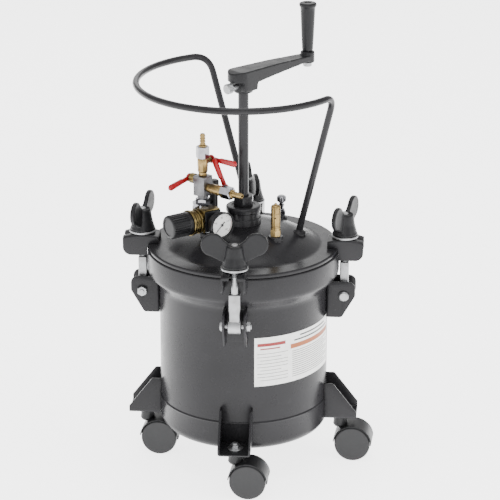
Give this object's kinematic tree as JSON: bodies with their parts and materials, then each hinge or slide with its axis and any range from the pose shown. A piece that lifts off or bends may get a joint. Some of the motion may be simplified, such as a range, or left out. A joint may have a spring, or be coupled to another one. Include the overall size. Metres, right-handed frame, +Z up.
{
  "type": "resin pressure pot",
  "caption": "Lidded black steel pressure pot on casters, with swing-bolt clamps, a lifting ring, a hand-cranked agitator, a regulator with a gauge, and ball valves.",
  "frame": {"origin": "middle of the flat underside of the tank, on its axis; the floor is 58 mm below", "axes": "+Z up along the tank axis; +X through the right-hand clamp, -Y through the front clamp"},
  "size_m": [0.3754, 0.3751, 0.6823],
  "materials": {
    "tank_enamel": "semi-gloss black enamel",
    "cast_black": "satin black paint on a casting",
    "zinc": "bright zinc plate",
    "chrome": "bright chrome",
    "brass": "machined brass",
    "grey_alloy": "satin grey alloy",
    "red_vinyl": "dipped red vinyl on steel",
    "regulator_plastic": "moulded black plastic",
    "caster_plastic": "moulded black plastic",
    "wheel_plastic": "moulded black nylon wheel",
    "gauge_white": "gauge with a white dial in a black case",
    "gasket_rubber": "black rubber"
  },
  "bodies": {
    "root": {"tank_shell": "tank_enamel", "lid": "tank_enamel", "lid_gasket": "gasket_rubber", "clamp_lug_right": "tank_enamel", "lid_lug_right": "tank_enamel", "lug_pin_right": "zinc", "foot_bracket_right": "tank_enamel", "clamp_lug_back": "tank_enamel", "lid_lug_back": "tank_enamel", "lug_pin_back": "zinc", "foot_bracket_back": "tank_enamel", "clamp_lug_left": "tank_enamel", "lid_lug_left": "tank_enamel", "lug_pin_left": "zinc", "foot_bracket_left": "tank_enamel", "clamp_lug_front": "tank_enamel", "lid_lug_front": "tank_enamel", "lug_pin_front": "zinc", "foot_bracket_front": "tank_enamel", "lifting_ring": "tank_enamel", "agitator_gland": "tank_enamel", "manifold_block": "grey_alloy", "air_outlet_valve": "brass", "fluid_outlet_valve": "brass", "fluid_tube": "tank_enamel", "regulator_body": "regulator_plastic", "gauge_case": "gauge_white", "relief_valve": "brass", "vent_valve": "chrome"},
    "swing_bolt_right": {"swing_bolt_right": "zinc"},
    "clamp_washer_right": {"clamp_washer_right": "zinc"},
    "wing_nut_right": {"wing_nut_right": "cast_black"},
    "caster_right": {"caster_hood_right": "caster_plastic"},
    "wheels_right": {"caster_wheels_right": "wheel_plastic"},
    "swing_bolt_back": {"swing_bolt_back": "zinc"},
    "clamp_washer_back": {"clamp_washer_back": "zinc"},
    "wing_nut_back": {"wing_nut_back": "cast_black"},
    "caster_back": {"caster_hood_back": "caster_plastic"},
    "wheels_back": {"caster_wheels_back": "wheel_plastic"},
    "swing_bolt_left": {"swing_bolt_left": "zinc"},
    "clamp_washer_left": {"clamp_washer_left": "zinc"},
    "wing_nut_left": {"wing_nut_left": "cast_black"},
    "caster_left": {"caster_hood_left": "caster_plastic"},
    "wheels_left": {"caster_wheels_left": "wheel_plastic"},
    "swing_bolt_front": {"swing_bolt_front": "zinc"},
    "clamp_washer_front": {"clamp_washer_front": "zinc"},
    "wing_nut_front": {"wing_nut_front": "cast_black"},
    "caster_front": {"caster_hood_front": "caster_plastic"},
    "wheels_front": {"caster_wheels_front": "wheel_plastic"},
    "agitator": {"agitator_shaft": "tank_enamel", "agitator_paddle": "zinc", "crank_arm": "cast_black", "crank_clamp_screw": "zinc"},
    "grip": {"crank_grip": "cast_black"},
    "air_outlet_lever": {"air_outlet_lever": "red_vinyl"},
    "fluid_outlet_lever": {"fluid_outlet_lever": "red_vinyl"},
    "air_inlet_lever": {"air_inlet_lever": "red_vinyl"},
    "regulator_knob": {"regulator_knob": "regulator_plastic"},
    "gauge_needle": {"gauge_needle": "regulator_plastic"},
    "vent_knob": {"vent_knob": "chrome"}
  },
  "joints": [
    {"name": "clamp_swing_right", "type": "hinge", "parent": "root", "child": "swing_bolt_right", "pos_m": [0.15, 0, 0.208], "axis": [0, 1, 0], "range_deg": [0, 120]},
    {"name": "washer_lift_right", "type": "slide", "parent": "swing_bolt_right", "child": "clamp_washer_right", "axis": [0, 0, 1], "range_m": [0, 0.0062]},
    {"name": "nut_turn_right", "type": "hinge", "parent": "clamp_washer_right", "child": "wing_nut_right", "pos_m": [0.15, 0, 0.2963], "axis": [0, 0, 1], "range_deg": [0, 1440]},
    {"name": "clamp_swing_back", "type": "hinge", "parent": "root", "child": "swing_bolt_back", "pos_m": [0, 0.15, 0.208], "axis": [-1, 0, 0], "range_deg": [0, 120]},
    {"name": "washer_lift_back", "type": "slide", "parent": "swing_bolt_back", "child": "clamp_washer_back", "axis": [0, 0, 1], "range_m": [0, 0.0062]},
    {"name": "nut_turn_back", "type": "hinge", "parent": "clamp_washer_back", "child": "wing_nut_back", "pos_m": [0, 0.15, 0.2963], "axis": [0, 0, 1], "range_deg": [0, 1440]},
    {"name": "clamp_swing_left", "type": "hinge", "parent": "root", "child": "swing_bolt_left", "pos_m": [-0.15, 0, 0.208], "axis": [0, -1, 0], "range_deg": [0, 120]},
    {"name": "washer_lift_left", "type": "slide", "parent": "swing_bolt_left", "child": "clamp_washer_left", "axis": [0, 0, 1], "range_m": [0, 0.0062]},
    {"name": "nut_turn_left", "type": "hinge", "parent": "clamp_washer_left", "child": "wing_nut_left", "pos_m": [-0.15, 0, 0.2963], "axis": [0, 0, 1], "range_deg": [0, 1440]},
    {"name": "clamp_swing_front", "type": "hinge", "parent": "root", "child": "swing_bolt_front", "pos_m": [0, -0.15, 0.208], "axis": [1, 0, 0], "range_deg": [0, 120]},
    {"name": "washer_lift_front", "type": "slide", "parent": "swing_bolt_front", "child": "clamp_washer_front", "axis": [0, 0, 1], "range_m": [0, 0.0062]},
    {"name": "nut_turn_front", "type": "hinge", "parent": "clamp_washer_front", "child": "wing_nut_front", "pos_m": [0, -0.15, 0.2963], "axis": [0, 0, 1], "range_deg": [0, 1440]},
    {"name": "agitator_spin", "type": "hinge", "parent": "root", "child": "agitator", "pos_m": [0, 0, 0.319], "axis": [0, 0, 1], "continuous": true},
    {"name": "grip_spin", "type": "hinge", "parent": "agitator", "child": "grip", "pos_m": [0.08699, 0.09661, 0.551], "axis": [0, 0, 1], "continuous": true},
    {"name": "air_outlet_lever_turn", "type": "hinge", "parent": "root", "child": "air_outlet_lever", "pos_m": [-0.0568, -0.0298, 0.4153], "axis": [-0.5592, -0.829, 0], "range_deg": [0, 90]},
    {"name": "fluid_outlet_lever_turn", "type": "hinge", "parent": "root", "child": "fluid_outlet_lever", "pos_m": [-0.03168, -0.04674, 0.378], "axis": [0.5592, 0.829, 0], "range_deg": [0, 90]},
    {"name": "air_inlet_lever_turn", "type": "hinge", "parent": "root", "child": "air_inlet_lever", "pos_m": [-0.06509, -0.02421, 0.387], "axis": [-0.829, 0.5592, 0], "range_deg": [0, 90]},
    {"name": "regulator_knob_turn", "type": "hinge", "parent": "root", "child": "regulator_knob", "pos_m": [-0.0861, -0.06486, 0.32968], "axis": [-0.7716, -0.6361, 0], "range_deg": [-720, 720]},
    {"name": "gauge_needle_turn", "type": "hinge", "parent": "root", "child": "gauge_needle", "pos_m": [-0.02541, -0.06616, 0.33168], "axis": [-0.6361, 0.7716, 0], "range_deg": [0, 270]},
    {"name": "vent_knob_turn", "type": "hinge", "parent": "root", "child": "vent_knob", "pos_m": [0.051, 0.0744, 0.329], "axis": [0, 0, 1], "range_deg": [0, 720]},
    {"name": "caster_swivel_right", "type": "hinge", "parent": "root", "child": "caster_right", "pos_m": [0.147, 0, 0.012], "axis": [0, 0, 1], "continuous": true},
    {"name": "wheel_spin_right", "type": "hinge", "parent": "caster_right", "child": "wheels_right", "pos_m": [0.16697, -0.00115, -0.031], "axis": [0.0576, 0.9983, 0], "continuous": true},
    {"name": "caster_swivel_back", "type": "hinge", "parent": "root", "child": "caster_back", "pos_m": [0, 0.147, 0.012], "axis": [0, 0, 1], "continuous": true},
    {"name": "wheel_spin_back", "type": "hinge", "parent": "caster_back", "child": "wheels_back", "pos_m": [0.01997, 0.14585, -0.031], "axis": [0.0576, 0.9983, 0], "continuous": true},
    {"name": "caster_swivel_left", "type": "hinge", "parent": "root", "child": "caster_left", "pos_m": [-0.147, 0, 0.012], "axis": [0, 0, 1], "continuous": true},
    {"name": "wheel_spin_left", "type": "hinge", "parent": "caster_left", "child": "wheels_left", "pos_m": [-0.12703, -0.00115, -0.031], "axis": [0.0576, 0.9983, 0], "continuous": true},
    {"name": "caster_swivel_front", "type": "hinge", "parent": "root", "child": "caster_front", "pos_m": [0, -0.147, 0.012], "axis": [0, 0, 1], "continuous": true},
    {"name": "wheel_spin_front", "type": "hinge", "parent": "caster_front", "child": "wheels_front", "pos_m": [0.01997, -0.14815, -0.031], "axis": [0.0576, 0.9983, 0], "continuous": true}
  ],
  "couplings": [
    {"joint": "washer_lift_right", "follows": "nut_turn_right", "m_per_rad": 0.00023873},
    {"joint": "washer_lift_back", "follows": "nut_turn_back", "m_per_rad": 0.00023873},
    {"joint": "washer_lift_left", "follows": "nut_turn_left", "m_per_rad": 0.00023873},
    {"joint": "washer_lift_front", "follows": "nut_turn_front", "m_per_rad": 0.00023873}
  ]
}
